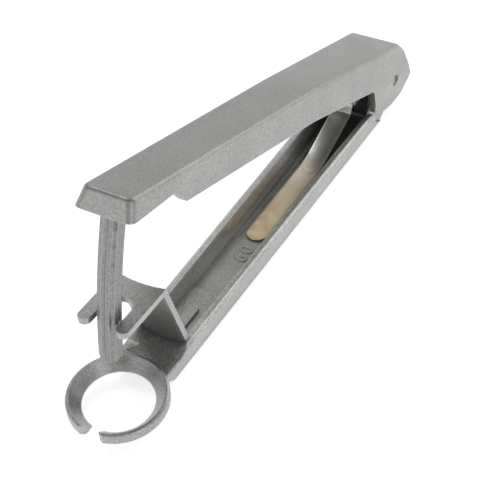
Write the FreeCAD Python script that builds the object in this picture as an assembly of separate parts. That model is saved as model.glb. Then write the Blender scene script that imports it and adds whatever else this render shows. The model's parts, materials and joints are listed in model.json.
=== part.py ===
import FreeCAD, Part
import math
import os

# Cherry pitter with lever: an arm casting with a seat ring, a lever casting with its punch,
# a leaf spring and a hinge pin. All lengths are in millimetres.
#
# Everything is built with the hinge axis along Y through the origin, +X towards the ring and
# +Z up, and is moved at the end, so that the part stands centred on Z = 0.

V = FreeCAD.Vector

# Reach from the hinge axis to the centre of the seat ring and to the middle of the curved punch,
# and height of the open lever's nose above the hinge axis
RING_REACH = 140.0
NOSE_HEIGHT = 48.75
PUNCH_REACH = RING_REACH + 0.9

# Arm channel, with heights measured from the hinge axis
RIM_Z = -5.34
ARM_HEIGHT = 7.79
FLOOR_THICKNESS = 2.0
ARM_HALF_WIDTH_AT_HINGE = 9.42
ARM_HALF_WIDTH_AT_BULKHEAD = 7.93
ARM_OUTER_DRAFT = 9.6
ARM_WALL_AT_RIM = 2.45
ARM_INNER_DRAFT = 8.0
RIM_ROUND = 1.25
BOTTOM_ROUND = 0.9
CHEEK_ROUND = 0.5

# Pivot tongue of the arm, which the ears of the lever straddle
TONGUE_HALF_WIDTH = 7.6
TONGUE_CHEEK = 2.3
TONGUE_TOP_RADIUS = 6.5
TONGUE_REAR_RADIUS = 10.2
TONGUE_REAR_WALL = 2.0
WALL_END_RADIUS = 13.4

# Bulkhead and fork plate
BULKHEAD_X = RING_REACH - 21.62
BULKHEAD_HALF_WIDTH = 6.5
BULKHEAD_THICKNESS = 1.4
BULKHEAD_BOW = 0.9
PLATE_TOP_Z = 17.35
PLATE_REAR_X = RING_REACH - 13.2
PLATE_RISE = 1.26
PLATE_THICKNESS = 1.5
PRONG_TIP_X = RING_REACH + 3.6
SLOT_HALF_WIDTH = 3.3
SLOT_END_X = RING_REACH - 6.7

# Neck and seat ring
NECK_TOP_DROP = 1.7
NECK_SCOOP_RADIUS = 20.0
NECK_SCOOP_Z = (-6.0, -8.3)
ARM_FOOT_END_X = RING_REACH - 14.6
RING_RADIUS = 12.1
RING_HEIGHT = 3.13
RING_UNDERSIDE_Z = -9.68
RING_FALL = 5.0
SEAT_TOP_RADIUS = 11.2
SEAT_LOW_RADIUS = 8.6
RING_GAP = 3.3
RING_TIP_ROUND = 1.1

# Details on the channel floor
SPRING_STEP_X = 74.6
SPRING_RECESS_DEPTH = 0.5
SPRING_RECESS_HALF_WIDTH = 4.0
RAISED_FLOOR_X = RING_REACH - 42.25
RAISED_FLOOR = 0.8
BOSS_X = RING_REACH - 35.5
BOSS_HEIGHT = 0.8
BOSS_Y = (-1.7, 1.3)

# Leaf spring
SPRING_THICKNESS = 0.6
SPRING_HALF_WIDTH = 3.0
SPRING_FRONT_GAP = 1.0
SPRING_FRONT_X = SPRING_STEP_X - SPRING_FRONT_GAP
SPRING_LIFT_X = 35.0
SPRING_SLOPE = 18.0
SPRING_BEND_RADIUS = 40.0
SPRING_KNEE_X = 15.8
SPRING_LEG = 6.4
SPRING_LEG_SLOPE = 74.0

# Lever, with its edges as points in the X-Z plane
LEVER_TOP_NOSE = (RING_REACH - 3.9, NOSE_HEIGHT)
LEVER_TOP_BEND = (53.5, 26.3)
LEVER_TOP_REAR = (-7.6, 7.85)
LEVER_NOSE_FOOT = (RING_REACH - 1.3, NOSE_HEIGHT - 4.4)
LEVER_BASE_NOTCH_FRONT = (RING_REACH - 18.1, NOSE_HEIGHT - 7.75)
LEVER_BASE_NOTCH_REAR = (RING_REACH - 21.1, NOSE_HEIGHT - 11.8)
LEVER_BASE_BEND = (55.4, 18.75)
LEVER_BASE_REAR = (16.9, 5.7)
LEVER_BEND_ROUND = 60.0
LEVER_NOTCH_ROUNDS = (0.9, 1.8)
LEVER_HALF_WIDTH_BASE_FRONT = 8.0
LEVER_HALF_WIDTH_BASE_REAR = 10.05
LEVER_HALF_WIDTH_NOSE = 5.95
LEVER_WALL = 1.8
LEVER_WEB = 2.0
LEVER_EDGE_ROUND = 1.2
LEVER_NOSE_CORNER_ROUND = 2.0
LEVER_REAR_CORNER_ROUND = 1.6
LEVER_NOSE_WALL = 2.6
LEVER_REAR_WALL = 2.2
EAR_HALF_WIDTH = 10.4
EAR_EDGE = [(15.0, 2.2, 4.0), (12.9, -1.6, 6.0), (12.0, -4.7, 1.8), (7.4, -8.0, 5.0), (-1.2, -10.0, 12.0),
            (-8.2, -9.3, 3.0), (-12.6, -5.6), (-13.2, -4.0), (-12.9, -0.6, 5.0), (-11.1, 4.6, 6.0)]
EAR_LOWER_DRAFT = 8.0
REAR_WALL_RADIUS = 11.1
REAR_WALL_END = 204.0
OPEN_STOP_GAP = 0.6
SPRING_HOLDER_X = (12.4, 17.0)
SPRING_HOLDER_Z = -0.8
SPRING_HOLDER_HALF_WIDTH = 4.4

# Punch, a fluted round bar curved about the hinge axis
PUNCH_DIAMETER = 5.3
PUNCH_FLUTES = 8
PUNCH_FLUTE_RADIUS = 0.65
PUNCH_FLUTE_DEPTH = 0.38
PUNCH_TIP_ANGLE = 2.7
PUNCH_ROOT_Z = NOSE_HEIGHT - 2.45
COLLAR_MARGIN = 1.0
COLLAR_SETBACK = 2.4
COLLAR_DEPTH = 4.6

# Hinge pin
PIN_RADIUS = 1.6
PIN_RECESS = 0.35
PIN_COUNTERBORE_RADIUS = 1.95

# Fits
TONGUE_SIDE_CLEARANCE = 0.3
PIN_RUNNING_CLEARANCE = 0.05
SPRING_SEAT_CLEARANCE = 0.08
BIG = 400.0


def point(x, z, y=0.0):
    """Point of the X-Z plane at a given Y."""
    return V(x, y, z)


def polar(radius, degrees):
    """X and Z of a point at a radius and angle about the hinge axis, from +X towards +Z."""
    return radius * math.cos(math.radians(degrees)), radius * math.sin(math.radians(degrees))


def rounded_wire(corners):
    """Closed wire through (position, corner radius) pairs."""
    count = len(corners)
    starts, ends, middles = [], [], []
    for i in range(count):
        here, radius = corners[i]
        if radius <= 0:
            starts.append(here)
            ends.append(here)
            middles.append(None)
            continue
        to_last = (corners[i - 1][0] - here).normalize()
        to_next = (corners[(i + 1) % count][0] - here).normalize()
        half = to_last.getAngle(to_next) / 2
        reach = radius / math.tan(half)
        bisector = (to_last + to_next).normalize()
        starts.append(here + to_last * reach)
        ends.append(here + to_next * reach)
        middles.append(here + bisector * (radius / math.sin(half) - radius))
    edges = []
    for i in range(count):
        if middles[i] is not None:
            edges.append(Part.Arc(starts[i], middles[i], ends[i]).toShape())
        following = starts[(i + 1) % count]
        if ends[i].distanceToPoint(following) > 1e-6:
            edges.append(Part.LineSegment(ends[i], following).toShape())
    return Part.Wire(edges)


def side_slab(corners, low_y, high_y):
    """Outline in the X-Z plane, as (x, z) or (x, z, corner radius), extruded along Y."""
    placed = [(point(c[0], c[1], low_y), c[2] if len(c) > 2 else 0.0) for c in corners]
    return Part.Face(rounded_wire(placed)).extrude(V(0, high_y - low_y, 0))


def plan_slab(corners, low_z, high_z):
    """Outline in the X-Y plane, as (x, y) or (x, y, corner radius), extruded along Z."""
    placed = [(V(c[0], c[1], low_z), c[2] if len(c) > 2 else 0.0) for c in corners]
    return Part.Face(rounded_wire(placed)).extrude(V(0, 0, high_z - low_z))


def disc(radius, low_y, high_y):
    """Cylinder about the hinge axis."""
    return Part.makeCylinder(radius, high_y - low_y, V(0, low_y, 0), V(0, 1, 0))


def sloped_half_space(half_width, x_slope, z_slope, side):
    """Box that fills everything beyond the plane y = side * (half_width + x_slope x + z_slope z)."""
    normal = V(-x_slope, 1.0, -z_slope).normalize()
    box = Part.makeBox(BIG, BIG, BIG, V(-BIG / 2, -BIG / 2, 0))
    box.Placement = FreeCAD.Placement(V(0, half_width, 0), FreeCAD.Rotation(V(0, 0, 1), normal))
    if side < 0:
        box = box.mirror(V(0, 0, 0), V(0, 1, 0))
    return box


def trim_sides(shape, half_width, x_slope, z_slope):
    """Keep what lies between the two mirrored sloping side planes."""
    for side in (1, -1):
        shape = shape.cut(sloped_half_space(half_width, x_slope, z_slope, side))
    return shape


def edges_where(shape, test):
    """Edges of a shape whose two ends both pass a test."""
    return [e for e in shape.Edges if len(e.Vertexes) == 2 and all(test(v.Point) for v in e.Vertexes)]


def both_sides(shape):
    """A shape and its mirror image across the X-Z plane."""
    return shape.fuse(shape.mirror(V(0, 0, 0), V(0, 1, 0)))


# Arm channel

def arm_taper():
    """Change of the arm's half width per millimetre towards the ring."""
    return (ARM_HALF_WIDTH_AT_BULKHEAD - ARM_HALF_WIDTH_AT_HINGE) / BULKHEAD_X


def arm_bottom_z():
    """Height of the flat underside."""
    return RIM_Z - ARM_HEIGHT


def arm_floor_z():
    """Height of the channel floor."""
    return arm_bottom_z() + FLOOR_THICKNESS


def neck_top_z():
    """Height of the cheeks ahead of the bulkhead."""
    return RIM_Z - NECK_TOP_DROP


def arm_blank():
    """Solid arm from behind the hinge to the neck, before it is hollowed."""
    low = arm_bottom_z()
    start = -2 * TONGUE_REAR_RADIUS
    end = RING_REACH - SEAT_LOW_RADIUS
    blank = side_slab([(start, low), (end, low), (end, RIM_Z), (start, RIM_Z)], -15, 15)
    slope = math.tan(math.radians(ARM_OUTER_DRAFT))
    blank = trim_sides(blank, ARM_HALF_WIDTH_AT_HINGE - RIM_Z * slope, arm_taper(), slope)
    long_edges = [e for e in blank.Edges if e.Length > end]
    blank = blank.makeFillet(RIM_ROUND, [e for e in long_edges if e.CenterOfMass.z > RIM_Z - 1])
    long_edges = [e for e in blank.Edges if e.Length > end]
    blank = blank.makeFillet(BOTTOM_ROUND, [e for e in long_edges if e.CenterOfMass.z < low + 0.1])
    ramp = BULKHEAD_X + 2.2
    above = side_slab([(ramp, RIM_Z + 1), (ramp, RIM_Z, 0.8), (ramp + 3.8, neck_top_z(), 2.5), (end + 5, neck_top_z()),
                       (end + 5, RIM_Z + 1)], -15, 15)
    below = side_slab([(ARM_FOOT_END_X, low - 1), (ARM_FOOT_END_X, low, 1.0), (end - 1, RING_UNDERSIDE_Z + 0.7),
                       (end + 5, RING_UNDERSIDE_Z + 0.7), (end + 5, low - 1)], -15, 15)
    blank = blank.cut(above).cut(below)
    cheek_tops = edges_where(blank, lambda p: abs(p.z - neck_top_z()) < 0.01 and abs(p.y) > 5)
    return blank.makeFillet(CHEEK_ROUND, [e for e in cheek_tops if e.Length > 3])


def neck_scoop():
    """Round hollow along the top of the neck, which falls from the bulkhead towards the seat."""
    start, end = BULKHEAD_X + 0.4, RING_REACH - 9.0
    high, low = NECK_SCOOP_Z
    length = math.hypot(end - start, high - low)
    axis = V(end - start, 0, low - high)
    return Part.makeCylinder(NECK_SCOOP_RADIUS, length, V(start, 0, high + NECK_SCOOP_RADIUS), axis)


def tongue_outline(rear_radius, floor_z, half_width):
    """Side outline of the tongue below the rim: a floor that turns up round the hinge axis."""
    front = 22.0
    foot = 4.0
    along = math.degrees(math.atan2(floor_z, foot))
    turn = math.degrees(math.acos(rear_radius / math.hypot(foot, floor_z)))
    tangent = polar(rear_radius, along - turn)
    flat = side_slab([(front, floor_z), (foot, floor_z), tangent, (0, 0), (front, 0)], -half_width, half_width)
    rear = disc(rear_radius, -half_width, half_width)
    rear = rear.cut(Part.makeBox(BIG, BIG, BIG, V(-BIG / 2, -BIG / 2, -0.5)))
    return flat.fuse(rear)


def tongue_top():
    """The two pin bosses in one block: a round about the hinge axis that runs down to the rim."""
    half = TONGUE_HALF_WIDTH
    nose = math.degrees(math.atan2(RIM_Z, 13.0))
    lift = math.degrees(math.acos(TONGUE_TOP_RADIUS / math.hypot(13.0, RIM_Z)))
    shoulder = polar(TONGUE_TOP_RADIUS, nose + lift)
    rear = -TONGUE_REAR_RADIUS + 0.4
    wedge = side_slab([(13.0, RIM_Z), shoulder, (0, 0), (rear, -0.5), (rear, RIM_Z - 0.5), (12.0, RIM_Z - 0.5)],
                      -half, half)
    side, x_slope, z_slope = lever_side_plane()
    top = disc(TONGUE_TOP_RADIUS, -half, half).fuse(wedge)
    return trim_sides(top, side - LEVER_WALL - TONGUE_SIDE_CLEARANCE - 0.1, x_slope / 2, z_slope)


def stop_heel():
    """Heel behind the hinge, on which the lever's rear wall rests when the tool is open."""
    start = REAR_WALL_END + OPEN_STOP_GAP
    return side_slab([polar(8.8, start), polar(12.2, start) + (0.5,), polar(12.2, start + 15) + (1.0,),
                      polar(8.8, start + 22)], -5.0, 5.0)


def shape_tongue(arm):
    """Cut the rear end of the blank to the tongue, and add its bosses and heel."""
    behind = Part.makeBox(BIG + 4, BIG, BIG, V(-BIG, -BIG / 2, arm_bottom_z() - 1))
    arm = arm.cut(behind.cut(tongue_outline(TONGUE_REAR_RADIUS, arm_bottom_z(), 25)))
    beside = disc(WALL_END_RADIUS, TONGUE_HALF_WIDTH, 20)
    low = side_slab([(-30, -30), (2.6, -30), (2.6, 0), (-30, 0)], TONGUE_HALF_WIDTH, 20)
    return arm.cut(both_sides(beside.fuse(low))).fuse(tongue_top()).fuse(stop_heel())


def tongue_hollow():
    """Space between the two cheeks, open above."""
    half = TONGUE_HALF_WIDTH - TONGUE_CHEEK
    rear = TONGUE_REAR_RADIUS - TONGUE_REAR_WALL
    inner = tongue_outline(rear, arm_floor_z(), half)
    above = side_slab([(-rear, -0.6), (22.0, -0.6), (22.0, 12.0), (-12.0, 12.0), (-12.0, -0.6)], -half, half)
    return inner.fuse(above)


def channel_hollow():
    """Tapered trough between the arm's walls, ahead of the tongue's cheeks."""
    slope = math.tan(math.radians(ARM_INNER_DRAFT))
    start = 8.7
    trough = side_slab([(start, arm_floor_z()), (BULKHEAD_X + 1.5, arm_floor_z()), (BULKHEAD_X + 1.5, 8.0),
                        (start, 8.0)], -15, 15)
    half = ARM_HALF_WIDTH_AT_HINGE - ARM_WALL_AT_RIM
    trough = trim_sides(trough, half - RIM_Z * slope, arm_taper(), slope)
    return trough


def floor_details():
    """Raised floor and casting boss near the bulkhead, which are added to the floor."""
    floor = arm_floor_z()
    raised = Part.makeBox(BULKHEAD_X + 2 - RAISED_FLOOR_X, 12, RAISED_FLOOR + 0.5, V(RAISED_FLOOR_X, -6, floor - 0.5))
    boss = plan_slab([(BOSS_X, BOSS_Y[0], 0.5), (BOSS_X, BOSS_Y[1], 0.5), (BULKHEAD_X + 1, BOSS_Y[1]),
                      (BULKHEAD_X + 1, BOSS_Y[0])], floor, floor + RAISED_FLOOR + BOSS_HEIGHT)
    return raised.fuse(boss)


def spring_recess():
    """Shallow recess in the floor that stops the front end of the spring."""
    floor = arm_floor_z()
    half = SPRING_RECESS_HALF_WIDTH
    return plan_slab([(6.0, -half), (SPRING_STEP_X, -half, 0.8), (SPRING_STEP_X, half, 0.8), (6.0, half)],
                     floor - SPRING_RECESS_DEPTH, floor + 1.0)


# Bulkhead and fork plate

def bulkhead_lean():
    """Travel along X per millimetre of height of the leaning bulkhead."""
    return (PLATE_REAR_X - BULKHEAD_X) / (PLATE_TOP_Z - RIM_Z)


def bowed_strip(rear_offset, front_offset, half_width):
    """Leaning solid between two bowed faces, given as X offsets from the bulkhead's rear face."""
    low = arm_bottom_z() + 1.0
    lean = bulkhead_lean()
    corner_x = BULKHEAD_X + (low - RIM_Z) * lean
    radius = (BULKHEAD_HALF_WIDTH ** 2 + BULKHEAD_BOW ** 2) / (2 * BULKHEAD_BOW)
    bow = radius - math.sqrt(radius ** 2 - half_width ** 2)
    rise = PLATE_TOP_Z + 1.0 - low
    rims = []
    for offset in (rear_offset, front_offset):
        middle = corner_x + BULKHEAD_BOW + offset
        rims.append([V(middle - bow, -half_width, low), V(middle, 0, low), V(middle - bow, half_width, low)])
    rear, front = rims
    wire = Part.Wire([Part.Arc(rear[2], rear[1], rear[0]).toShape(), Part.LineSegment(rear[0], front[0]).toShape(),
                      Part.Arc(front[0], front[1], front[2]).toShape(), Part.LineSegment(front[2], rear[2]).toShape()])
    return Part.Face(wire).extrude(V(rise * lean, 0, rise))


def fork_and_bulkhead():
    """Thin leaning wall, bowed forward in plan, and the pronged plate that grows from its top."""
    half = BULKHEAD_HALF_WIDTH
    slot = SLOT_HALF_WIDTH
    prong = (half - slot) / 2
    rear = PLATE_REAR_X
    outline = [(rear - 3, -half), (PRONG_TIP_X, -half, prong), (PRONG_TIP_X, -slot, prong), (SLOT_END_X, -slot, slot),
               (SLOT_END_X, slot, slot), (PRONG_TIP_X, slot, prong), (PRONG_TIP_X, half, prong), (rear - 3, half)]
    plate = plan_slab(outline, PLATE_TOP_Z - PLATE_THICKNESS, PLATE_TOP_Z)
    above = Part.makeBox(BIG, BIG, BIG, V(rear - BIG / 2, -BIG / 2, PLATE_TOP_Z))
    for shape in (plate, above):
        shape.rotate(V(rear, 0, PLATE_TOP_Z), V(0, 1, 0), -PLATE_RISE)
    plate = plate.cut(bowed_strip(-20.0, 0.0, half + 2.0))
    depth = BULKHEAD_THICKNESS * math.hypot(1, bulkhead_lean())
    return bowed_strip(0.0, depth, half).cut(above).fuse(plate)


# Neck and seat ring

def ring_blank():
    """Ring as one turned section, with rounded outer edges, before the seat is cut."""
    wide = RING_RADIUS
    section = [(V(2, 0, 0), 0), (V(wide, 0, 0), 0.6), (V(wide, 0, RING_HEIGHT), 0.9), (V(2, 0, RING_HEIGHT), 0)]
    return place_on_ring(Part.Face(rounded_wire(section)).revolve(V(0, 0, 0), V(0, 0, 1), 360))


def seat_cutter():
    """Conical seat that runs through the ring, with the gap at its front."""
    rise = RING_HEIGHT
    spread = (SEAT_TOP_RADIUS - SEAT_LOW_RADIUS) / rise
    below = 5.0
    above = 0.6
    cone = Part.makeCone(SEAT_LOW_RADIUS, SEAT_TOP_RADIUS + above * spread, rise + above)
    bore = Part.makeCylinder(SEAT_LOW_RADIUS, below, V(0, 0, -below))
    return place_on_ring(cone.fuse(bore))


def place_on_ring(shape):
    """Move a shape made about Z = 0 to the ring's place and tilt."""
    shape.rotate(V(0, 0, 0), V(0, 1, 0), RING_FALL)
    shape.translate(V(RING_REACH, 0, RING_UNDERSIDE_Z))
    return shape


def gap_cutter():
    """Opening at the front of the ring, which leaves the two tips rounded in plan."""
    half = RING_GAP / 2
    edge = math.sqrt(RING_RADIUS ** 2 - half ** 2)
    flare = RING_TIP_ROUND
    corner_a = (edge - flare, half, flare)
    corner_b = (edge - flare, -half, flare)
    outline = [(0, -half), corner_b, (edge + 0.2, -half - 2.2 * flare), (edge + 6, -half - 2.2 * flare),
               (edge + 6, half + 2.2 * flare), (edge + 0.2, half + 2.2 * flare), corner_a, (0, half)]
    return place_on_ring(plan_slab(outline, -4, 8))


def lower_arm():
    """The whole arm casting."""
    arm = shape_tongue(arm_blank())
    arm = arm.cut(channel_hollow()).cut(tongue_hollow())
    arm = arm.fuse(floor_details().common(channel_core())).cut(spring_recess())
    arm = arm.fuse(ring_blank()).cut(neck_scoop()).cut(seat_cutter()).cut(gap_cutter())
    arm = arm.fuse(fork_and_bulkhead())
    return arm.cut(disc(PIN_RADIUS + PIN_RUNNING_CLEARANCE, -2 * TONGUE_HALF_WIDTH, 2 * TONGUE_HALF_WIDTH))


def channel_core():
    """Solid that reaches from wall to wall below the rim, which trims the floor details."""
    slope = math.tan(math.radians(ARM_OUTER_DRAFT))
    block = side_slab([(8.7, arm_bottom_z()), (BULKHEAD_X + 2, arm_bottom_z()), (BULKHEAD_X + 2, RIM_Z),
                       (8.7, RIM_Z)], -15, 15)
    return trim_sides(block, ARM_HALF_WIDTH_AT_HINGE - RIM_Z * slope - 1.0, arm_taper(), slope)


# Lever

def lever_side_plane():
    """Half width, X slope and Z slope of the lever's outer side, through three of its corners."""
    (x1, z1), (x2, z2), (x3, z3) = LEVER_BASE_NOTCH_REAR, LEVER_BASE_REAR, LEVER_TOP_NOSE
    w1, w2, w3 = LEVER_HALF_WIDTH_BASE_FRONT, LEVER_HALF_WIDTH_BASE_REAR, LEVER_HALF_WIDTH_NOSE
    det = (x2 - x1) * (z3 - z1) - (x3 - x1) * (z2 - z1)
    x_slope = ((w2 - w1) * (z3 - z1) - (w3 - w1) * (z2 - z1)) / det
    z_slope = ((x2 - x1) * (w3 - w1) - (x3 - x1) * (w2 - w1)) / det
    return w1 - x_slope * x1 - z_slope * z1, x_slope, z_slope


def parting_angle():
    """Slope of the parting line, which runs from the hinge axis along the lever's base."""
    return math.degrees(math.atan2(LEVER_BASE_REAR[1], LEVER_BASE_REAR[0]))


def lever_outline():
    """Side outline of the lever with its ears."""
    front_round, rear_round = LEVER_NOTCH_ROUNDS
    return [LEVER_TOP_REAR, LEVER_TOP_BEND + (LEVER_BEND_ROUND,), LEVER_TOP_NOSE, LEVER_NOSE_FOOT,
            LEVER_BASE_NOTCH_FRONT + (front_round,), LEVER_BASE_NOTCH_REAR + (rear_round,),
            LEVER_BASE_BEND + (LEVER_BEND_ROUND,), LEVER_BASE_REAR + (0.6,)] + EAR_EDGE


def lever_hull():
    """Solid outer shape of the lever, with its drafted sides and rounded edges."""
    hull = side_slab(lever_outline(), -2 * EAR_HALF_WIDTH, 2 * EAR_HALF_WIDTH)
    half, x_slope, z_slope = lever_side_plane()
    hull = trim_sides(hull, half, x_slope, z_slope)
    hull = hull.makeFillet(LEVER_NOSE_CORNER_ROUND, upright_edges(hull, LEVER_TOP_NOSE))
    hull = hull.makeFillet(LEVER_REAR_CORNER_ROUND, upright_edges(hull, LEVER_TOP_REAR))
    hull = hull.makeFillet(LEVER_EDGE_ROUND, top_loop(hull))
    angle = math.radians(parting_angle())
    draft = math.tan(math.radians(EAR_LOWER_DRAFT))
    hull = trim_sides(hull, EAR_HALF_WIDTH, 0, 0)
    return trim_sides(hull, EAR_HALF_WIDTH, -math.sin(angle) * draft, math.cos(angle) * draft)


def upright_edges(hull, top):
    """The two edges that run down the sides from a corner of the lever's top."""
    found = []
    for edge in edges_where(hull, lambda p: abs(p.y) > 3):
        ends = [v.Point for v in edge.Vertexes]
        at_top = [p for p in ends if math.hypot(p.x - top[0], p.z - top[1]) < 0.05]
        if len(at_top) == 1 and min(p.z for p in ends) < top[1] - 1.5 and edge.Length < 12:
            found.append(edge)
    return found


def top_loop(hull):
    """The edges all round the lever's top face."""
    found = []
    for edge in edges_where(hull, lambda p: abs(p.z - lever_top_at(p.x)) < 0.3):
        low, high = sorted(v.Point.x for v in edge.Vertexes)
        across = high - low < 0.2 and LEVER_TOP_REAR[0] + 2 < low < LEVER_TOP_NOSE[0] - 2
        if not across and edge.Length > 0.05:
            found.append(edge)
    return found


def lever_top_at(x):
    """Height of the lever's top over a place along the arm."""
    low, high = (LEVER_TOP_REAR, LEVER_TOP_BEND) if x < LEVER_TOP_BEND[0] else (LEVER_TOP_BEND, LEVER_TOP_NOSE)
    return low[1] + (x - low[0]) * (high[1] - low[1]) / (high[0] - low[0])


def lever_hollow():
    """Space inside the inverted U, which is open below and behind the rear wall's lower edge."""
    web = LEVER_WEB * 1.04
    nose_x = LEVER_TOP_NOSE[0] - LEVER_NOSE_WALL
    inner_nose = (nose_x, lever_top_at(nose_x) - web, 1.0)
    inner_bend = (LEVER_TOP_BEND[0], LEVER_TOP_BEND[1] - web, LEVER_BEND_ROUND)
    rear_x = LEVER_TOP_REAR[0] + LEVER_REAR_WALL
    inner_rear = (rear_x, lever_top_at(rear_x) - web, 2.0)
    foot = (LEVER_NOSE_FOOT[0] - LEVER_WEB, LEVER_NOSE_FOOT[1] - 1.5)
    below = -3 * REAR_WALL_RADIUS
    outside = 2 * REAR_WALL_RADIUS
    outline = [inner_rear, inner_bend, inner_nose, foot, (foot[0], below), (-outside, below),
               polar(outside, REAR_WALL_END),
               polar(REAR_WALL_RADIUS, REAR_WALL_END), polar(REAR_WALL_RADIUS, 184.0) + (8.0,)]
    half = TONGUE_HALF_WIDTH + TONGUE_SIDE_CLEARANCE
    hollow = side_slab(outline, -half, half)
    side, x_slope, z_slope = lever_side_plane()
    return trim_sides(hollow, side - LEVER_WALL, x_slope, z_slope)


def spring_holder():
    """Block under the lever's web with the slot that grips the spring's leg."""
    low = SPRING_HOLDER_Z
    left, right = SPRING_HOLDER_X
    half = SPRING_HOLDER_HALF_WIDTH
    block = side_slab([(left, low, 0.5), (right, low, 0.5), (right + 1.2, lever_top_at(right) - 1.0),
                       (left - 0.6, lever_top_at(left) - 1.0)], -half, half)
    knee, tip = spring_route()[-2:]
    reach = SPRING_THICKNESS / 2 + SPRING_SEAT_CLEARANCE
    leg = math.radians(SPRING_LEG_SLOPE)
    across = (math.sin(leg) * reach, math.cos(leg) * reach)
    top = (tip[0] - math.cos(leg) * SPRING_SEAT_CLEARANCE, tip[1] + math.sin(leg) * SPRING_SEAT_CLEARANCE)
    side = SPRING_HALF_WIDTH + SPRING_SEAT_CLEARANCE
    slot = side_slab([(knee[0] - across[0], knee[1] - across[1]), (knee[0] + across[0], knee[1] + across[1]),
                      (top[0] + across[0], top[1] + across[1]), (top[0] - across[0], top[1] - across[1])], -side, side)
    return block.cut(slot)


def punch_root_angle():
    """Angle about the hinge axis at which the punch ends inside the nose."""
    return math.degrees(math.asin(PUNCH_ROOT_Z / PUNCH_REACH))


def punch():
    """Fluted bar on an arc about the hinge axis, from the nose down to its tip."""
    middle = V(PUNCH_REACH, 0, 0)
    section = Part.Face(Part.Wire(Part.makeCircle(PUNCH_DIAMETER / 2, middle)))
    flute_reach = PUNCH_DIAMETER / 2 - PUNCH_FLUTE_DEPTH + PUNCH_FLUTE_RADIUS
    for i in range(PUNCH_FLUTES):
        angle = 2 * math.pi * i / PUNCH_FLUTES
        centre = middle + V(flute_reach * math.cos(angle), flute_reach * math.sin(angle), 0)
        section = section.cut(Part.Face(Part.Wire(Part.makeCircle(PUNCH_FLUTE_RADIUS, centre))))
    section.rotate(V(0, 0, 0), V(0, 1, 0), -PUNCH_TIP_ANGLE)
    return section.revolve(V(0, 0, 0), V(0, -1, 0), punch_root_angle() - PUNCH_TIP_ANGLE)


def punch_collar():
    """Solid root between the punch and the nose."""
    top_x = LEVER_TOP_NOSE[0] - 1.5
    left = PUNCH_REACH * math.cos(math.radians(punch_root_angle())) - PUNCH_DIAMETER / 2 - COLLAR_SETBACK
    half = PUNCH_DIAMETER / 2 + COLLAR_MARGIN
    sunk = LEVER_WEB / 2
    return side_slab([(left, lever_top_at(left) - sunk), (left + 0.8, lever_top_at(left) - COLLAR_DEPTH, 0.6),
                      (LEVER_NOSE_FOOT[0] - 1.2, LEVER_NOSE_FOOT[1] + 0.4), (top_x, lever_top_at(top_x) - sunk)],
                     -half, half)


def upper_lever():
    """The whole lever casting."""
    lever = lever_hull().cut(lever_hollow())
    lever = lever.fuse(punch_collar()).fuse(spring_holder()).fuse(punch())
    lever = lever.cut(disc(PIN_RADIUS, -2 * EAR_HALF_WIDTH, 2 * EAR_HALF_WIDTH))
    pocket = disc(PIN_COUNTERBORE_RADIUS, EAR_HALF_WIDTH - PIN_RECESS, 2 * EAR_HALF_WIDTH)
    return lever.cut(both_sides(pocket)).removeSplitter()


# Leaf spring

def spring_route():
    """Corner points of the spring's middle line, from its front end to the tip of its leg."""
    z = arm_floor_z() - SPRING_RECESS_DEPTH + SPRING_THICKNESS / 2
    knee_z = z + (SPRING_LIFT_X - SPRING_KNEE_X) * math.tan(math.radians(SPRING_SLOPE))
    leg = math.radians(SPRING_LEG_SLOPE)
    tip = (SPRING_KNEE_X - SPRING_LEG * math.cos(leg), knee_z + SPRING_LEG * math.sin(leg))
    return [(SPRING_FRONT_X, z), (SPRING_LIFT_X, z), (SPRING_KNEE_X, knee_z), tip]


def leaf_spring():
    """Flat strip with a rounded front end, a gentle rise and a short steep leg."""
    front, lift, knee, tip = spring_route()
    half = SPRING_THICKNESS / 2
    upper = offset_route([front, lift, knee, tip], half)
    lower = offset_route([front, lift, knee, tip], -half)
    bends = [SPRING_BEND_RADIUS, 1.2]
    outline = [upper[0], upper[1] + (bends[0] - half,), upper[2] + (bends[1] - half,), upper[3],
               lower[3], lower[2] + (bends[1] + half,), lower[1] + (bends[0] + half,), lower[0]]
    strip = side_slab(outline, -SPRING_HALF_WIDTH, SPRING_HALF_WIDTH)
    end_round = SPRING_HALF_WIDTH - 0.05
    plan = plan_slab([(0, -SPRING_HALF_WIDTH), (SPRING_FRONT_X, -SPRING_HALF_WIDTH, end_round),
                      (SPRING_FRONT_X, SPRING_HALF_WIDTH, end_round), (0, SPRING_HALF_WIDTH)], -30, 30)
    return strip.common(plan)


def offset_route(route, distance):
    """Corners of a line drawn beside a route of three runs, on its upper side where distance > 0."""
    normals = []
    for (x1, z1), (x2, z2) in zip(route[:-1], route[1:]):
        length = math.hypot(x2 - x1, z2 - z1)
        normals.append(((z2 - z1) / length, (x1 - x2) / length))
    moved = []
    for i, (x, z) in enumerate(route):
        before = normals[max(i - 1, 0)]
        after = normals[min(i, len(normals) - 1)]
        scale = distance / (1 + before[0] * after[0] + before[1] * after[1])
        moved.append((x + (before[0] + after[0]) * scale, z + (before[1] + after[1]) * scale))
    return moved


# Hinge pin

def hinge_pin():
    """Plain pin with bevelled ends, held by the ears and free in the tongue."""
    length = 2 * (EAR_HALF_WIDTH - PIN_RECESS)
    pin = Part.makeCylinder(PIN_RADIUS, length, V(0, -length / 2, 0), V(0, 1, 0))
    ends = [e for e in pin.Edges if isinstance(e.Curve, Part.Circle)]
    return pin.makeChamfer(0.25, ends)


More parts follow.
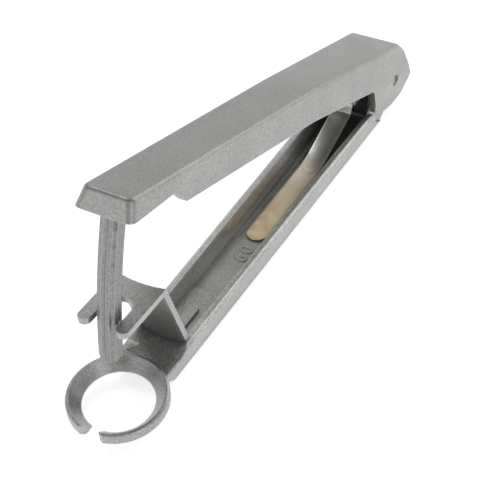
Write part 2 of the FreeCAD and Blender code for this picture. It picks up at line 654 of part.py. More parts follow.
def main():
    """Build every node, centre the part on its base and write one file per node."""
    nodes = {"lower_arm": lower_arm(), "upper_lever": upper_lever(), "leaf_spring": leaf_spring(),
             "hinge_pin": hinge_pin()}
    box = FreeCAD.BoundBox()
    for shape in nodes.values():
        box.add(shape.optimalBoundingBox(False, False))
    shift = V(-(box.XMin + box.XMax) / 2, 0, -arm_bottom_z())
    os.makedirs("parts", exist_ok=True)
    for name, shape in nodes.items():
        shape.translate(shift)
        solid = shape.Solids[0] if len(shape.Solids) == 1 else shape
        solid.exportStep("parts/" + name + ".step")
        print(name, "solids", len(shape.Solids), "valid", shape.isValid(), "volume", round(shape.Volume, 1))
    print("hinge axis at", shift)


main()
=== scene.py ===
import json
import logging
import math
from dataclasses import dataclass
from enum import Enum

import bmesh
import bpy
from mathutils import Matrix, Vector


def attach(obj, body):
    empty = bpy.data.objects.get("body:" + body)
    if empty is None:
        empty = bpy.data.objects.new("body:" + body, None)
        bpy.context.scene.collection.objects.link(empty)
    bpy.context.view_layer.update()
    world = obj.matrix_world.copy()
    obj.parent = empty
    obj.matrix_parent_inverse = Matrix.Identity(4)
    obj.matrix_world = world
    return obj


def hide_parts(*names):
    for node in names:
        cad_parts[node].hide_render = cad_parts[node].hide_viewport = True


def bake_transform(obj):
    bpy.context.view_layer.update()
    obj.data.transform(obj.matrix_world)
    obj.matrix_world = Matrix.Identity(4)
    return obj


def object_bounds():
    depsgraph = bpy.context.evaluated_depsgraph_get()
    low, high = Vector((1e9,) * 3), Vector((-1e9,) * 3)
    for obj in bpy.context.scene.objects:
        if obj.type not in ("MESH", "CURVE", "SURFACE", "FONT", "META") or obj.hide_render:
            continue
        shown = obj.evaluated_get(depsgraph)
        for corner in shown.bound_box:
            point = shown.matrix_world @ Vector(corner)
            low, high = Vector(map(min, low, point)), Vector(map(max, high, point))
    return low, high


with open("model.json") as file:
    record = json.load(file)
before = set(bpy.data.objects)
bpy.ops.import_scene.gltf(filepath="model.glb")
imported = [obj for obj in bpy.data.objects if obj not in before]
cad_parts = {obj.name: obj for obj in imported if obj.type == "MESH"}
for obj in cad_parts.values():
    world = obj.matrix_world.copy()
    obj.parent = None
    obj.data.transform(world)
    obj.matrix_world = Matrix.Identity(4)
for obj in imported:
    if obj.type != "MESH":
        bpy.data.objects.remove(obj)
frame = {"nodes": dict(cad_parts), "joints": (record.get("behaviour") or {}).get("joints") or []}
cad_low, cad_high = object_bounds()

# Finishes, bending spring, mould number, studio and camera of a cherry pitter with lever. Plain lengths are in
# metres in the part's frame, and a name that ends in _mm holds millimetres. A colour ramp starts with two stops,
# and the noise that makes grain and rings hardly leaves its middle span.
MM = 0.001
RAMP_OWN_STOPS = 2
NOISE_SPAN = (0.3, 0.7)
LOG = logging.getLogger("cherry_pitter")

Point = tuple[float, float, float]
Socket = bpy.types.NodeSocket


def linear(hex_colour: str) -> tuple[float, float, float, float]:
    """Turn an sRGB hex colour into the linear RGBA that the shaders take.

    Args:
        hex_colour: six hex digits, with or without a leading hash.

    Returns:
        Linear red, green, blue and an alpha of 1.
    """
    digits = hex_colour.lstrip("#")
    channels = [int(digits[i:i + 2], 16) / 255 for i in (0, 2, 4)]
    # These numbers are the sRGB curve's own.
    red, green, blue = (c / 12.92 if c <= 0.04045 else ((c + 0.055) / 1.055) ** 2.4 for c in channels)
    return red, green, blue, 1.0


def add_node(owner: bpy.types.ID, kind: str, settings: dict | None = None, links: dict | None = None) -> bpy.types.Node:
    """Add one shader node with its settings and its incoming links.

    Args:
        owner: the material or world whose node tree gets the node.
        kind: Blender's name of the node type.
        settings: values by attribute name, or by input socket where the key is an input's name or number. The
            key "stops" gives a colour ramp's positions and colours, in rising order.
        links: output sockets by the name or number of the input that they feed.

    Returns:
        The new node.
    """
    node = owner.node_tree.nodes.new(kind)
    for key, value in (settings or {}).items():
        if key == "stops":
            for position, _ in value[RAMP_OWN_STOPS:]:
                node.color_ramp.elements.new(position)
            for element, (position, colour) in zip(node.color_ramp.elements, value):
                element.position = position
                element.color = colour
        elif isinstance(key, str) and hasattr(node, key):
            setattr(node, key, value)
        else:
            node.inputs[key].default_value = value
    for key, output in (links or {}).items():
        owner.node_tree.links.new(output, node.inputs[key])
    return node


def empty_material(name: str) -> bpy.types.Material:
    """Make a material with a node tree that holds nothing yet.

    Args:
        name: the material's name.

    Returns:
        The material.
    """
    material = bpy.data.materials.new(name)
    material.use_nodes = True
    material.node_tree.nodes.clear()
    return material


def dress(node_name: str, material: bpy.types.Material) -> None:
    """Give a carried-over CAD node one material all over.

    Args:
        node_name: the CAD node's name.
        material: the material that it gets.
    """
    mesh = frame["nodes"][node_name].data
    mesh.materials.clear()
    mesh.materials.append(material)


def place_mesh(name: str, mesh: bpy.types.Mesh) -> bpy.types.Object:
    """Put a mesh into the scene as an object at the origin.

    Args:
        name: the object's name.
        mesh: its mesh, in the part's frame.

    Returns:
        The object.
    """
    holder = bpy.data.objects.new(name, mesh)
    bpy.context.scene.collection.objects.link(holder)
    return holder


class Surface(Enum):
    """How a casting's skin was finished. The value is how strongly its grain stands out."""

    BARREL_POLISHED = 0.45
    AS_CAST = 1.0


@dataclass(frozen=True)
class PaintedLightZone:
    """A box in the part's frame where the skin's colour is darkened by painted shade or brightened by a painted
    highlight.
    """

    low: Point
    high: Point
    shade: float
    fade_mm: float = 1.2

    def factor(self, material: bpy.types.Material, place: Socket) -> Socket:
        """Add the nodes that darken or brighten the zone.

        Args:
            material: the material that gets them.
            place: position on the part, in metres.

        Returns:
            What the skin's colour is multiplied by.
        """
        axes = add_node(material, "ShaderNodeSeparateXYZ", links={0: place})
        inside = None
        for axis, low, high in zip("XYZ", self.low, self.high):
            half = (high - low) / 2
            away = add_node(material, "ShaderNodeMath", {"operation": "SUBTRACT", 1: (low + high) / 2},
                            {0: axes.outputs[axis]})
            apart = add_node(material, "ShaderNodeMath", {"operation": "ABSOLUTE"}, {0: away.outputs[0]})
            near = add_node(material, "ShaderNodeMapRange", {"From Min": half, "From Max": half - self.fade_mm * MM},
                            {"Value": apart.outputs[0]}).outputs["Result"]
            if inside is not None:
                near = add_node(material, "ShaderNodeMath", {"operation": "MULTIPLY"}, {0: inside, 1: near}).outputs[0]
            inside = near
        return add_node(material, "ShaderNodeMapRange", {"To Min": 1.0, "To Max": self.shade},
                        {"Value": inside}).outputs["Result"]


@dataclass(frozen=True)
class DieCastAluminium:
    """Pressure die-cast aluminium with a clear-coated silver skin.

    The metal powder in the skin gives the eye a fine sparkle over soft, wide reflections, and outer
    edges carry a painted highlight, a near-white colour mixed in. Corners carry painted shade, and boxes add
    painted shade or a painted highlight. The clear coat scatters part of the light, so the skin is a little
    less metallic than bare metal.
    """

    name: str
    surface: Surface
    painted_zones: tuple[PaintedLightZone, ...]
    body_hex: str = "#acacaa"
    shade_hex: str = "#969694"
    spark_hex: str = "#c6c6c4"
    # Painted highlight: the near-white colour mixed into outer edges.
    edge_highlight_hex: str = "#e0e0de"
    metallic: float = 0.82
    roughness: float = 0.37
    roughness_spread: tuple[float, float] = (-0.05, 0.07)
    # Real powder grain is 0.05 mm wide. It is drawn ten times coarser, so that it shows in the render.
    grain_mm: float = 0.5
    grain_height_mm: float = 0.05
    grain_relief: float = 0.22
    mottle_mm: float = 14.0
    mottle_share: float = 0.25
    tone_stops: tuple[float, float, float] = (0.36, 0.50, 0.64)
    edge_mm: float = 0.3
    edge_turn: tuple[float, float] = (0.995, 0.86)
    highlight_cover: float = 0.8
    open_range: tuple[float, float] = (0.58, 0.85)
    recess_mm: float = 6.0
    recess_range: tuple[float, float] = (0.1, 0.7)
    # Painted shade: the skin's colour deep in a corner is this share of its colour in the open.
    painted_corner_shade: float = 0.45

    def build(self) -> bpy.types.Material:
        """Build the node material of this finish.

        Returns:
            The material.
        """
        material = empty_material(self.name)
        place = add_node(material, "ShaderNodeTexCoord").outputs["Object"]
        grain = add_node(material, "ShaderNodeTexNoise",
                         {"Scale": 1 / (self.grain_mm * MM), "Detail": 3.0, "Roughness": 0.65},
                         {"Vector": place}).outputs["Fac"]
        true = add_node(material, "ShaderNodeNewGeometry").outputs["Normal"]
        rounded = add_node(material, "ShaderNodeBevel", {"samples": 6, "Radius": self.edge_mm * MM}).outputs["Normal"]
        openness = add_node(material, "ShaderNodeAmbientOcclusion",
                            {"samples": 8, "Distance": self.recess_mm * MM}).outputs["AO"]
        outer = add_node(material, "ShaderNodeMapRange",
                         {"From Min": self.open_range[0], "From Max": self.open_range[1]},
                         {"Value": openness}).outputs["Result"]
        # Painted highlight: outer edges in the open are mixed towards a near-white colour.
        highlight_mask = self.edge_highlight_mask(material, rounded, true, outer)
        edge_highlit = add_node(material, "ShaderNodeMix", {"data_type": "RGBA", "B": linear(self.edge_highlight_hex)},
                           {"Factor": highlight_mask, "A": self.skin(material, place, grain)})
        colour = add_node(material, "ShaderNodeMix", {"data_type": "RGBA", "blend_type": "MULTIPLY", "Factor": 1.0},
                          {"A": edge_highlit.outputs["Result"], "B": self.painted_light_factor(material, place, openness)})
        less, more = self.roughness_spread
        gloss = add_node(material, "ShaderNodeMapRange",
                         {"From Min": NOISE_SPAN[0], "From Max": NOISE_SPAN[1], "To Min": self.roughness + less,
                          "To Max": self.roughness + more}, {"Value": grain})
        normal = add_node(material, "ShaderNodeMix", {"data_type": "VECTOR"},
                          {"Factor": outer, "A": true, "B": rounded})
        bump = add_node(material, "ShaderNodeBump",
                        {"Strength": self.grain_relief * self.surface.value, "Distance": self.grain_height_mm * MM},
                        {"Height": grain, "Normal": normal.outputs["Result"]})
        shader = add_node(material, "ShaderNodeBsdfPrincipled", {"Metallic": self.metallic},
                          {"Base Color": colour.outputs["Result"], "Roughness": gloss.outputs["Result"],
                           "Normal": bump.outputs["Normal"]})
        add_node(material, "ShaderNodeOutputMaterial", links={"Surface": shader.outputs["BSDF"]})
        return material

    def skin(self, material: bpy.types.Material, place: Socket, grain: Socket) -> Socket:
        """Add the nodes of the plain skin: powder grain over a wide, faint mottle.

        Args:
            material: the material that gets them.
            place: position on the part.
            grain: the grain's noise, 0 to 1.

        Returns:
            The skin's colour.
        """
        mottle = add_node(material, "ShaderNodeTexNoise",
                          {"Scale": 1 / (self.mottle_mm * MM), "Detail": 4.0, "Roughness": 0.55}, {"Vector": place})
        fine = add_node(material, "ShaderNodeMath", {"operation": "MULTIPLY", 1: 1 - self.mottle_share}, {0: grain})
        tone = add_node(material, "ShaderNodeMath", {"operation": "MULTIPLY_ADD", 1: self.mottle_share},
                        {0: mottle.outputs["Fac"], 2: fine.outputs[0]})
        colours = (linear(hex_colour) for hex_colour in (self.shade_hex, self.body_hex, self.spark_hex))
        return add_node(material, "ShaderNodeValToRGB", {"stops": list(zip(self.tone_stops, colours))},
                        {"Fac": tone.outputs[0]}).outputs["Color"]

    def painted_light_factor(self, material: bpy.types.Material, place: Socket, openness: Socket) -> Socket:
        """Add the nodes that paint shade into the corners and apply the painted light zones.

        The corners darken as painted shade, by how closed in they are.

        Args:
            material: the material that gets them.
            place: position on the part.
            openness: 1 in the open, falling towards 0 deep in a corner.

        Returns:
            What the skin's colour is multiplied by.
        """
        # Painted shade: the colour darkens towards the corners, by ambient occlusion.
        painted_factor = add_node(material, "ShaderNodeMapRange",
                        {"From Min": self.recess_range[0], "From Max": self.recess_range[1],
                         "To Min": self.painted_corner_shade, "To Max": 1.0}, {"Value": openness}).outputs["Result"]
        # Each zone adds painted shade or a painted highlight.
        for zone in self.painted_zones:
            painted_factor = add_node(material, "ShaderNodeMath", {"operation": "MULTIPLY"},
                            {0: painted_factor, 1: zone.factor(material, place)}).outputs[0]
        return painted_factor

    def edge_highlight_mask(self, material: bpy.types.Material, rounded: Socket, true: Socket, outer: Socket) -> Socket:
        """Add the nodes that find outer edges for the painted highlight, where the rounded normal leaves the real one
        in the open.

        Args:
            material: the material that gets them.
            rounded: the normal that the Bevel node rounds.
            true: the surface's own normal.
            outer: 1 in the open and 0 in a corner.

        Returns:
            A value that rises towards an outer edge and is 0 on a flat and in a corner.
        """
        dot = add_node(material, "ShaderNodeVectorMath", {"operation": "DOT_PRODUCT"}, {0: rounded, 1: true})
        bent = add_node(material, "ShaderNodeMapRange",
                        {"From Min": self.edge_turn[0], "From Max": self.edge_turn[1], "To Min": 0.0,
                         "To Max": self.highlight_cover}, {"Value": dot.outputs["Value"]})
        mask = add_node(material, "ShaderNodeMath", {"operation": "MULTIPLY"}, {0: bent.outputs["Result"], 1: outer})
        return mask.outputs[0]


@dataclass(frozen=True)
class TemperedSpringSteel:
    """Rolled and tempered spring steel strip.

    Tempering leaves a straw-brown oxide on the flat stretch, which fades and then wears back to bright steel
    where the strip lifts, and a darker brown where it was bent. The bare steel carries a painted reflection
    across its width, light on the far side and grey on the near side. Places along the strip are pairs in mm
    from the lift or from the bend: where a tone starts, and where it is full.
    """

    name: str
    straw_hex: str = "#e6d5b4"
    dark_straw_hex: str = "#d2bc97"
    pale_straw_hex: str = "#e6dcc4"
    faded_hex: str = "#fff2dc"
    # Painted reflection: bare steel runs from this light tone on the far side to the grey below on the near side.
    sheen_bright_hex: str = "#f4f3f0"
    sheen_grey_hex: str = "#b4b2ae"
    bend_hex: str = "#6f5740"
    leg_hex: str = "#d8d8d6"
    patch_stops: tuple[float, float, float] = (0.35, 0.55, 0.7)
    patch_mm: float = 7.0
    ragged_mm: float = 14.0
    straw_mm: tuple[float, float] = (-4.0, 6.0)
    fading_mm: tuple[float, float] = (14.0, 7.0)
    browned_mm: tuple[float, float] = (3.5, 0.5)
    leg_mm: tuple[float, float] = (-0.2, -0.6)
    painted_sheen_aside_mm: tuple[float, float] = (1.6, -1.2)
    metallic: float = 0.75
    bright_roughness: float = 0.2
    oxide_roughness: float = 0.26
    roughness_spread: float = 0.06
    # Real rolling lines are 0.02 mm apart. They are drawn coarser, so that they show in the render.
    rolling_mm: float = 0.35
    rolling_stretch: float = 0.06
    rolling_height_mm: float = 0.03
    rolling_relief: float = 0.006

    def build(self, lift_x: float, bend_x: float) -> bpy.types.Material:
        """Build the node material of this finish.

        Args:
            lift_x: where the strip has left the floor, in metres along the frame's X.
            bend_x: where the strip's steep leg starts.

        Returns:
            The material.
        """
        material = empty_material(self.name)
        place = add_node(material, "ShaderNodeTexCoord").outputs["Object"]
        patches = add_node(material, "ShaderNodeTexNoise",
                           {"Scale": 1 / (self.patch_mm * MM), "Detail": 3.0, "Distortion": 0.6},
                           {"Vector": place}).outputs["Fac"]
        axes = add_node(material, "ShaderNodeSeparateXYZ", links={0: place})
        shift = add_node(material, "ShaderNodeMath",
                         {"operation": "MULTIPLY_ADD", 1: self.ragged_mm * MM, 2: -self.ragged_mm / 2 * MM},
                         {0: patches})
        ragged = add_node(material, "ShaderNodeMath", {"operation": "ADD"},
                          {0: axes.outputs["X"], 1: shift.outputs[0]}).outputs[0]
        straw, fading, browned = (
            add_node(material, "ShaderNodeMapRange", {"From Min": base + start * MM, "From Max": base + full * MM},
                     {"Value": ragged}).outputs["Result"]
            for base, (start, full) in ((lift_x, self.straw_mm), (lift_x, self.fading_mm), (bend_x, self.browned_mm)))
        leg = add_node(material, "ShaderNodeMapRange",
                       {"From Min": bend_x + self.leg_mm[0] * MM, "From Max": bend_x + self.leg_mm[1] * MM},
                       {"Value": axes.outputs["X"]}).outputs["Result"]
        oxide = add_node(material, "ShaderNodeValToRGB",
                         {"stops": list(zip(self.patch_stops, (linear(self.dark_straw_hex), linear(self.straw_hex),
                                                               linear(self.pale_straw_hex))))}, {"Fac": patches})
        faded = add_node(material, "ShaderNodeMix", {"data_type": "RGBA", "B": linear(self.faded_hex)},
                         {"Factor": fading, "A": oxide.outputs["Color"]})
        # Painted reflection: the bare steel is lighter on the far side and greyer on the near side.
        sheen_across = add_node(material, "ShaderNodeMapRange",
                          {"From Min": self.painted_sheen_aside_mm[0] * MM, "From Max": self.painted_sheen_aside_mm[1] * MM},
                          {"Value": axes.outputs["Y"]})
        sheened_steel = add_node(material, "ShaderNodeMix",
                          {"data_type": "RGBA", "A": linear(self.sheen_grey_hex), "B": linear(self.sheen_bright_hex)},
                          {"Factor": sheen_across.outputs["Result"]})
        strip = add_node(material, "ShaderNodeMix", {"data_type": "RGBA"},
                         {"Factor": straw, "A": sheened_steel.outputs["Result"], "B": faded.outputs["Result"]})
        bent = add_node(material, "ShaderNodeMix", {"data_type": "RGBA", "B": linear(self.bend_hex)},
                        {"Factor": browned, "A": strip.outputs["Result"]})
        whole = add_node(material, "ShaderNodeMix", {"data_type": "RGBA", "B": linear(self.leg_hex)},
                         {"Factor": leg, "A": bent.outputs["Result"]})
        self.finish(material, place, straw, whole.outputs["Result"])
        return material

    def finish(self, material: bpy.types.Material, place: Socket, straw: Socket, colour: Socket) -> None:
        """Add the rolling lines, the gloss and the shader.

        Args:
            material: the material that gets them.
            place: position on the part.
            straw: 1 where the oxide is whole, and 0 on bright steel.
            colour: the strip's colour.
        """
        stretch = add_node(material, "ShaderNodeMapping", {"Scale": (self.rolling_stretch, 1.0, 1.0)},
                           {"Vector": place})
        rolling = add_node(material, "ShaderNodeTexNoise",
                           {"Scale": 1 / (self.rolling_mm * MM), "Detail": 2.0}, {"Vector": stretch.outputs[0]})
        base_gloss = add_node(material, "ShaderNodeMapRange",
                              {"To Min": self.bright_roughness, "To Max": self.oxide_roughness}, {"Value": straw})
        gloss = add_node(material, "ShaderNodeMath", {"operation": "MULTIPLY_ADD", 1: self.roughness_spread},
                         {0: rolling.outputs["Fac"], 2: base_gloss.outputs["Result"]})
        bump = add_node(material, "ShaderNodeBump",
                        {"Strength": self.rolling_relief, "Distance": self.rolling_height_mm * MM},
                        {"Height": rolling.outputs["Fac"]})
        shader = add_node(material, "ShaderNodeBsdfPrincipled", {"Metallic": self.metallic},
                          {"Base Color": colour, "Roughness": gloss.outputs[0], "Normal": bump.outputs["Normal"]})
        add_node(material, "ShaderNodeOutputMaterial", links={"Surface": shader.outputs["BSDF"]})


@dataclass(frozen=True)
class TurnedSteel:
    """Turned and zinc-plated steel.

    The lathe's fine rings round the axis break its reflections into thin bands.
    """

    name: str
    body_hex: str = "#8e857a"
    groove_hex: str = "#625a50"
    roughness: float = 0.32
    # Real lathe rings are 0.1 mm apart. They are drawn three times coarser, so that they show in the render.
    ring_mm: float = 0.3
    ring_stretch: float = 0.15
    ring_height_mm: float = 0.03
    ring_relief: float = 0.15

    def build(self) -> bpy.types.Material:
        """Build the node material of this finish.

        Returns:
            The material.
        """
        material = empty_material(self.name)
        place = add_node(material, "ShaderNodeTexCoord").outputs["Object"]
        stretch = add_node(material, "ShaderNodeMapping", {"Scale": (self.ring_stretch, 1.0, self.ring_stretch)},
                           {"Vector": place})
        rings = add_node(material, "ShaderNodeTexNoise", {"Scale": 1 / (self.ring_mm * MM), "Detail": 2.0},
                         {"Vector": stretch.outputs[0]})
        colour = add_node(material, "ShaderNodeValToRGB",
                          {"stops": list(zip(NOISE_SPAN, (linear(self.groove_hex), linear(self.body_hex))))},
                          {"Fac": rings.outputs["Fac"]})
        bump = add_node(material, "ShaderNodeBump",
                        {"Strength": self.ring_relief, "Distance": self.ring_height_mm * MM},
                        {"Height": rings.outputs["Fac"]})
        shader = add_node(material, "ShaderNodeBsdfPrincipled", {"Metallic": 1.0, "Roughness": self.roughness},
                          {"Base Color": colour.outputs["Color"], "Normal": bump.outputs["Normal"]})
        add_node(material, "ShaderNodeOutputMaterial", links={"Surface": shader.outputs["BSDF"]})
        return material


@dataclass
class ArmCasting:
    """The lower casting: channel arm, bulkhead with its fork plate, and open seat ring."""

    hinge: Vector
    finish_name: str = "die_cast_arm"
    # Painted shadow: the bulkhead, neck and seat are darkened.
    painted_neck_shadow: PaintedLightZone = PaintedLightZone((0.0480, -0.0066, -0.001), (0.0630, 0.0066, 0.0300), 0.66)
    # Painted highlight: the channel's rim is brightened.
    painted_rim_highlight: PaintedLightZone = PaintedLightZone((-0.0540, -0.0150, 0.0064), (0.0490, 0.0150, 0.0100), 1.28)
    mould_number: str = "60"
    number_from_hinge_mm: float = 80.0
    number_aside_mm: float = 0.8
    digit_height_mm: float = 5.6
    digit_relief_mm: float = 0.1
    digit_edge_mm: float = 0.1
    digit_spacing: float = 1.3
    floor_from_hinge_mm: float = -11.13

    def dress(self) -> None:
        """Give the casting its skin."""
        skin = DieCastAluminium(self.finish_name, Surface.AS_CAST, (self.painted_neck_shadow, self.painted_rim_highlight))
        dress("lower_arm", skin.build())

    def mould_digits(self) -> bpy.types.Object:
        """Raise the mould's plain number on the channel floor.

        Returns:
            The number as a mesh that rides on the arm.
        """
        curve = bpy.data.curves.new("mould_number", "FONT")
        curve.body = self.mould_number
        curve.size = self.digit_height_mm * MM
        curve.extrude = self.digit_relief_mm * MM
        curve.bevel_depth = self.digit_edge_mm * MM
        curve.bevel_resolution = 1
        curve.space_character = self.digit_spacing
        curve.align_x = "CENTER"
        curve.align_y = "CENTER"
        lettering = bpy.data.objects.new("mould_number_curve", curve)
        bpy.context.scene.collection.objects.link(lettering)
        bpy.context.view_layer.update()
        evaluated = lettering.evaluated_get(bpy.context.evaluated_depsgraph_get())
        mesh = bpy.data.meshes.new_from_object(evaluated)
        bpy.data.objects.remove(lettering)
        place = self.hinge + Vector((self.number_from_hinge_mm, self.number_aside_mm, self.floor_from_hinge_mm)) * MM
        mesh.transform(Matrix.Translation(place) @ Matrix.Rotation(math.pi, 4, "Z"))
        digits = place_mesh("mould_number", mesh)
        mesh.materials.clear()
        mesh.materials.append(bpy.data.materials[self.finish_name])
        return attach(digits, "arm")


@dataclass
class LeverCasting:
    """The upper casting: inverted-U lever, pivot ears and fluted punch."""

    # Painted shade: the lever's tones are darker than the arm's skin of the same metal.
    body_hex: str = "#9f9f9d"
    shade_hex: str = "#91918f"
    spark_hex: str = "#b5b5b3"
    # Painted shade: the punch is darkened.
    painted_punch_shade: PaintedLightZone = PaintedLightZone((0.0600, -0.0100, -0.010), (0.0900, 0.0100, 0.0560), 0.8)

    def dress(self) -> None:
        """Give the casting its skin."""
        skin = DieCastAluminium("die_cast_lever", Surface.BARREL_POLISHED, (self.painted_punch_shade,),
                                body_hex=self.body_hex, shade_hex=self.shade_hex, spark_hex=self.spark_hex)
        dress("upper_lever", skin.build())


@dataclass
class ReturnSpring:
    """The leaf spring: a strip that lies in the arm, rises to the lever and is gripped there by its leg.

    Places along it are in mm from the hinge, and heights in mm from the table.
    """

    hinge: Vector
    thickness_mm: float = 0.6
    half_width_mm: float = 3.0
    tip_half_width_mm: float = 0.35
    edge_round_mm: float = 0.16
    least_flat_mm: float = 0.1
    bottom_mm: float = 1.5
    front_mm: float = 73.6
    lift_mm: float = 35.0
    knee_mm: float = 15.8
    leg_mm: float = 6.4
    rise_deg: float = 18.0
    leg_deg: float = 74.0
    lift_radius_mm: float = 26.0
    knee_radius_mm: float = 1.2
    worn_from_mm: float = 35.5
    stride_mm: float = 2.5
    end_steps: int = 12
    bend_steps: int = 10
    leg_steps: int = 6

    def corners(self) -> list[Vector]:
        """Find the corner points of the strip's middle line in the X and Z plane.

        Returns:
            Front end, lift, knee and tip of the leg, in mm.
        """
        z = self.bottom_mm + self.thickness_mm / 2
        knee_z = z + (self.lift_mm - self.knee_mm) * math.tan(math.radians(self.rise_deg))
        leg = math.radians(self.leg_deg)
        tip = Vector((self.knee_mm - self.leg_mm * math.cos(leg), knee_z + self.leg_mm * math.sin(leg)))
        return [Vector((self.front_mm, z)), Vector((self.lift_mm, z)), Vector((self.knee_mm, knee_z)), tip]

    def stations(self) -> list[tuple[Vector, Vector]]:
        """Walk along the strip's middle line, in close steps round its front end and its two bends.

        Returns:
            Pairs of a point and a unit direction, from the front end to the tip of the leg.
        """
        front, lift, knee, tip = self.corners()
        along = [(lift - front).normalized(), (knee - lift).normalized(), (tip - knee).normalized()]
        line = [(front, along[0])]
        for step in range(1, self.end_steps + 1):
            reach = self.half_width_mm * (1 - math.cos(math.radians(90 * step / self.end_steps)))
            line.append((front + along[0] * reach, along[0]))
        for corner, before, after, radius in ((lift, along[0], along[1], self.lift_radius_mm),
                                              (knee, along[1], along[2], self.knee_radius_mm)):
            turn = before.angle(after)
            start = corner - before * radius * math.tan(turn / 2)
            inward = Vector((-before.y, before.x))
            if inward.dot(after) < 0:
                inward.negate()
            strides = int((start - line[-1][0]).length / self.stride_mm) - 1
            for _ in range(strides):
                line.append((line[-1][0] + before * self.stride_mm, before))
            for step in range(self.bend_steps + 1):
                angle = turn * step / self.bend_steps
                heading = before * math.cos(angle) + inward * math.sin(angle)
                spot = start + inward * radius * (1 - math.cos(angle)) + before * radius * math.sin(angle)
                line.append((spot, heading))
        for left in range(self.leg_steps, 0, -1):
            line.append((line[-1][0].lerp(tip, 1 / left), along[2]))
        return line

    def section(self, spot: Vector, heading: Vector) -> list[Point]:
        """Find the strip's cross-section at one station, with rounded edges and a round front end.

        Args:
            spot: the station's point on the middle line, in mm.
            heading: the direction of travel there.

        Returns:
            The section's points in metres, in order round the strip.
        """
        half, side, curve = self.thickness_mm / 2, self.half_width_mm, self.edge_round_mm
        up = Vector((heading.y, -heading.x))
        from_front = min(self.front_mm - spot.x, side)
        reach = max(self.tip_half_width_mm, math.sqrt(max(0.0, side ** 2 - (side - from_front) ** 2)))
        arc = [(reach - curve + curve * math.sin(t), half - curve + curve * math.cos(t))
               for t in (0.0, math.pi / 6, math.pi / 3, math.pi / 2)]
        # A point inside each rounded edge keeps the strip's flats flat to the shader.
        arc.insert(0, (max(self.least_flat_mm, reach - 2 * curve), half))
        points = []
        for y_sign, z_sign in ((1, 1), (-1, 1), (-1, -1), (1, -1)):
            corner = [(y_sign * y, z_sign * z) for y, z in arc]
            for y, z in corner if y_sign * z_sign < 0 else corner[::-1]:
                point = spot + up * z
                points.append(((self.hinge.x / MM + point.x) * MM, y * MM, point.y * MM))
        return points

    def loft(self) -> bpy.types.Mesh:
        """Join the sections into one closed strip.

        Returns:
            The strip's mesh.
        """
        mesh = bmesh.new()
        rings = [[mesh.verts.new(point) for point in self.section(spot, heading)]
                 for spot, heading in self.stations()]
        for ring, following in zip(rings[:-1], rings[1:]):
            for i in range(len(ring)):
                j = (i + 1) % len(ring)
                mesh.faces.new((ring[i], ring[j], following[j], following[i]))
        mesh.faces.new(rings[0])
        mesh.faces.new(rings[-1][::-1])
        bmesh.ops.recalc_face_normals(mesh, faces=mesh.faces)
        data = bpy.data.meshes.new("spring_strip")
        mesh.to_mesh(data)
        mesh.free()
        data.shade_smooth()
        return data

    def build(self) -> bpy.types.Object:
        """Build the strip, finish it, and hide the CAD's leaf spring.

        Returns:
            The strip as a mesh that stands for the CAD's leaf spring.
        """
        strip = place_mesh("spring_strip", self.loft())
        worn_x, bend_x = (self.hinge.x + mm * MM for mm in (self.worn_from_mm, self.knee_mm))
        strip.data.materials.append(TemperedSpringSteel("tempered_spring_steel").build(worn_x, bend_x))
        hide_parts("leaf_spring")
        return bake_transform(strip)


@dataclass
class PivotPin:
    """The hinge pin, whose ends show in the ears."""

    finish_name: str = "turned_pin_steel"

    def dress(self) -> None:
        """Give the pin its turned finish."""
        dress("hinge_pin", TurnedSteel(self.finish_name).build())


@dataclass(frozen=True)
class SoftLamp:
    """A square soft lamp that points at the part, with its place in metres from the part's centre."""

    name: str
    offset: Point
    side_m: float
    watts: float

    def hang(self, centre: Vector) -> None:
        """Hang the lamp.

        Args:
            centre: the part's centre.
        """
        light = bpy.data.lights.new(self.name, "AREA")
        light.size = self.side_m
        light.energy = self.watts
        holder = bpy.data.objects.new(self.name, light)
        bpy.context.scene.collection.objects.link(holder)
        offset = Vector(self.offset)
        holder.location = centre + offset
        holder.rotation_euler = (-offset).to_track_quat("-Z", "Y").to_euler()


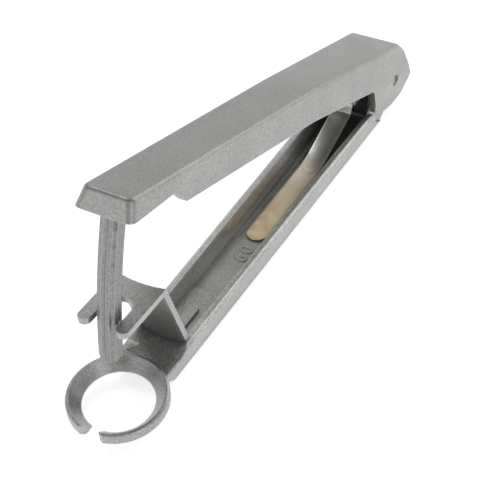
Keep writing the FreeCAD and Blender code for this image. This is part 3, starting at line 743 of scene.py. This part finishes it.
@dataclass
class Studio:
    """White table, pale surroundings and soft lamps."""

    centre: Vector
    floor_size_m: float = 6.0
    floor_hex: str = "#f4f4f4"
    floor_glow: float = 0.62
    wall_hex: str = "#d2d2d2"
    cornice_hex: str = "#b0b0b0"
    ceiling_hex: str = "#7c7c7c"
    wall_top: float = 0.25
    cornice_top: float = 0.62
    lamps: tuple[SoftLamp, ...] = (
        SoftLamp("lamp_left", (-0.78, 0.36, 0.54), 0.8, 2.2),
        SoftLamp("lamp_right", (0.50, 0.88, 0.22), 0.4, 0.9),
        SoftLamp("lamp_front", (0.95, -0.30, 0.32), 0.7, 1.0),
        SoftLamp("lamp_over", (-0.62, -0.33, 0.62), 0.9, 0.65),
        SoftLamp("lamp_top", (-0.16, -0.37, 0.92), 0.35, 1.05),
    )

    def build(self) -> None:
        """Make the table, the surroundings and the lamps."""
        self.table()
        self.surroundings()
        for lamp in self.lamps:
            lamp.hang(self.centre)

    def table(self) -> None:
        """Lay the table under the part."""
        half = self.floor_size_m / 2
        mesh = bpy.data.meshes.new("table")
        mesh.from_pydata([(-half, -half, 0), (half, -half, 0), (half, half, 0), (-half, half, 0)], [], [(0, 1, 2, 3)])
        table = place_mesh("table", mesh)
        material = empty_material("matt_white_card")
        sight = add_node(material, "ShaderNodeLightPath")
        clear = add_node(material, "ShaderNodeMath", {"operation": "MAXIMUM"},
                         {0: sight.outputs["Is Camera Ray"], 1: sight.outputs["Is Transmission Ray"]})
        seen = add_node(material, "ShaderNodeMath", {"operation": "MAXIMUM"},
                        {0: clear.outputs[0], 1: sight.outputs["Is Glossy Ray"]})
        strength = add_node(material, "ShaderNodeMath", {"operation": "MULTIPLY", 1: self.floor_glow},
                            {0: seen.outputs[0]})
        matt = add_node(material, "ShaderNodeBsdfDiffuse", {"Color": linear(self.floor_hex)})
        glow = add_node(material, "ShaderNodeEmission", {"Color": (1, 1, 1, 1)}, {"Strength": strength.outputs[0]})
        both = add_node(material, "ShaderNodeAddShader", links={0: matt.outputs[0], 1: glow.outputs[0]})
        add_node(material, "ShaderNodeOutputMaterial", links={"Surface": both.outputs[0]})
        mesh.materials.append(material)

    def surroundings(self) -> None:
        """Light everything from a pale room with bright walls and a dim ceiling, white to the camera."""
        world = bpy.data.worlds.new("pale_room")
        world.use_nodes = True
        world.node_tree.nodes.clear()
        bpy.context.scene.world = world
        place = add_node(world, "ShaderNodeTexCoord").outputs["Generated"]
        height = add_node(world, "ShaderNodeSeparateXYZ", links={0: place}).outputs["Z"]
        room = add_node(world, "ShaderNodeValToRGB",
                        {"stops": [(0.0, linear(self.wall_hex)), (self.wall_top, linear(self.wall_hex)),
                                   (self.cornice_top, linear(self.cornice_hex)), (1.0, linear(self.ceiling_hex))]},
                        {"Fac": height})
        seen = add_node(world, "ShaderNodeLightPath").outputs["Is Camera Ray"]
        shown = add_node(world, "ShaderNodeMix", {"data_type": "RGBA", "B": (1, 1, 1, 1)},
                         {"Factor": seen, "A": room.outputs["Color"]})
        glow = add_node(world, "ShaderNodeBackground", {"Strength": 1.0}, {"Color": shown.outputs["Result"]})
        add_node(world, "ShaderNodeOutputWorld", links={"Surface": glow.outputs[0]})


@dataclass
class PhotoCamera:
    """Camera at the photograph's place, solved from the object's own edges."""

    hinge: Vector
    azimuth_deg: float = 28.47
    elevation_deg: float = 40.47
    roll_deg: float = -0.8
    from_hinge_mm: Point = (285.37, 111.09, 192.74)
    lens_mm: float = 87.78
    sensor_mm: float = 36.0
    clip_start_m: float = 0.01

    def build(self) -> bpy.types.Object:
        """Make the camera and set it as the scene's.

        Returns:
            The camera object.
        """
        azimuth, elevation, roll = (math.radians(a) for a in (self.azimuth_deg, self.elevation_deg, self.roll_deg))
        back = Vector((math.cos(elevation) * math.cos(azimuth), math.cos(elevation) * math.sin(azimuth),
                       math.sin(elevation)))
        level = Vector((-math.sin(azimuth), math.cos(azimuth), 0))
        upright = back.cross(level)
        right = level * math.cos(roll) + upright * math.sin(roll)
        up = upright * math.cos(roll) - level * math.sin(roll)
        data = bpy.data.cameras.new("photo_camera")
        data.lens = self.lens_mm
        data.sensor_width = self.sensor_mm
        data.clip_start = self.clip_start_m
        camera = bpy.data.objects.new("photo_camera", data)
        bpy.context.scene.collection.objects.link(camera)
        place = self.hinge + Vector(self.from_hinge_mm) * MM
        turn = Matrix((right, up, back)).transposed().to_4x4()
        camera.matrix_world = Matrix.Translation(place) @ turn
        bpy.context.scene.camera = camera
        return camera


def main() -> None:
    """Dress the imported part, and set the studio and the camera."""
    logging.basicConfig(level=logging.INFO, format="%(message)s")
    hinge = Vector(frame["joints"][0]["pos_m"])
    arm = ArmCasting(hinge)
    arm.dress()
    LOG.info("lower_arm dressed")
    LOG.info("%s raised on the channel floor", arm.mould_digits().name)
    LeverCasting().dress()
    LOG.info("upper_lever dressed")
    ReturnSpring(hinge).build()
    LOG.info("spring_strip built in place of leaf_spring")
    PivotPin().dress()
    LOG.info("hinge_pin dressed")
    Studio((cad_low + cad_high) / 2).build()
    PhotoCamera(hinge).build()
    LOG.info("studio and camera set")
    bpy.context.scene.view_settings.view_transform = "Standard"


if __name__ == "__main__":
    main()
